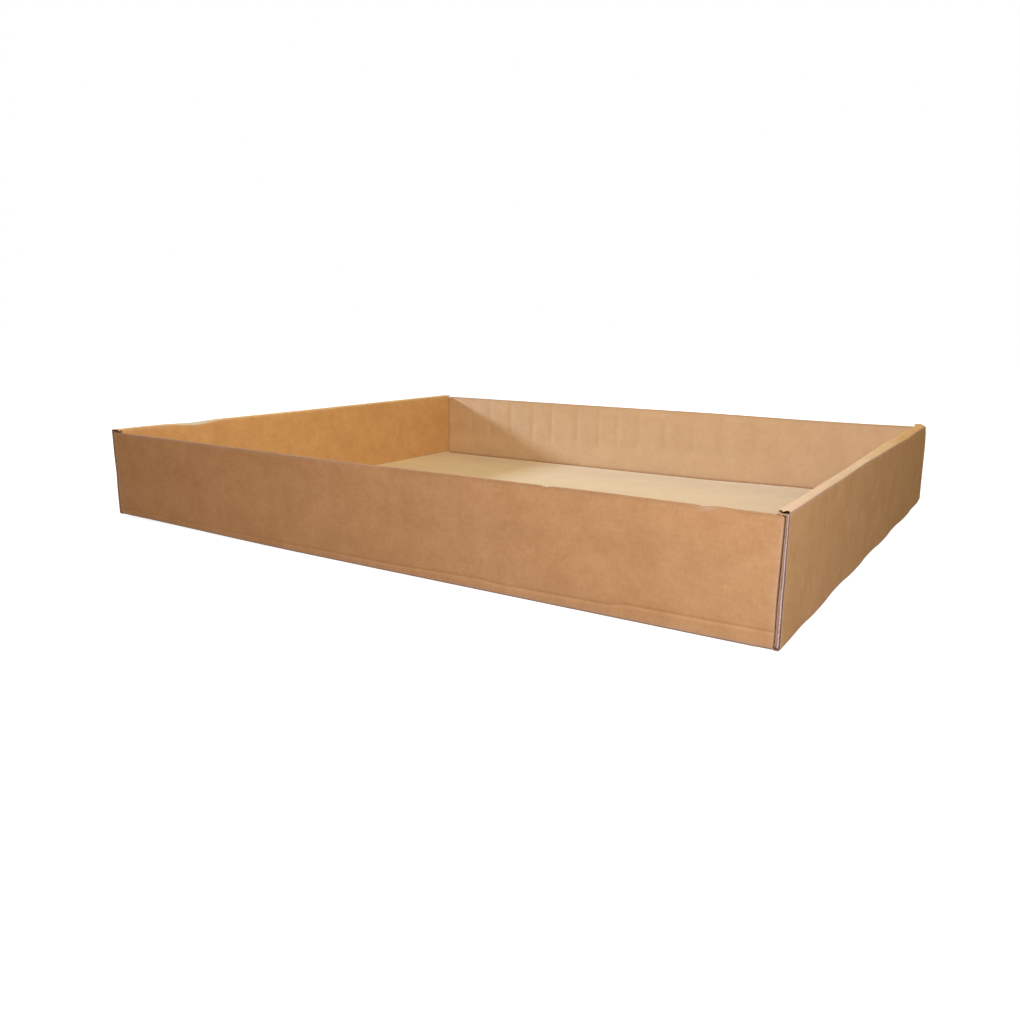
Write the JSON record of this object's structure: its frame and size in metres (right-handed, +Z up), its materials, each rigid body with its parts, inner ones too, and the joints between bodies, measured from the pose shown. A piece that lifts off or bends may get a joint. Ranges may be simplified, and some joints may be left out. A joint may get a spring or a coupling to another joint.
{
  "type": "cardboard tray box",
  "caption": "Shallow open tray folded from one sheet of double-wall corrugated board, with plain long walls and rolled-over end walls that lock into the base.",
  "frame": {"origin": "centre of the underside of the base", "axes": "+X along the length, between the rolled end walls; +Y from the front wall to the back wall; +Z up, out of the open top"},
  "size_m": [1.2424, 1.013, 0.162],
  "materials": {
    "kraft_board": "matt brown kraft liner"
  },
  "bodies": {
    "root": {"tray": "kraft_board"}
  },
  "joints": []
}
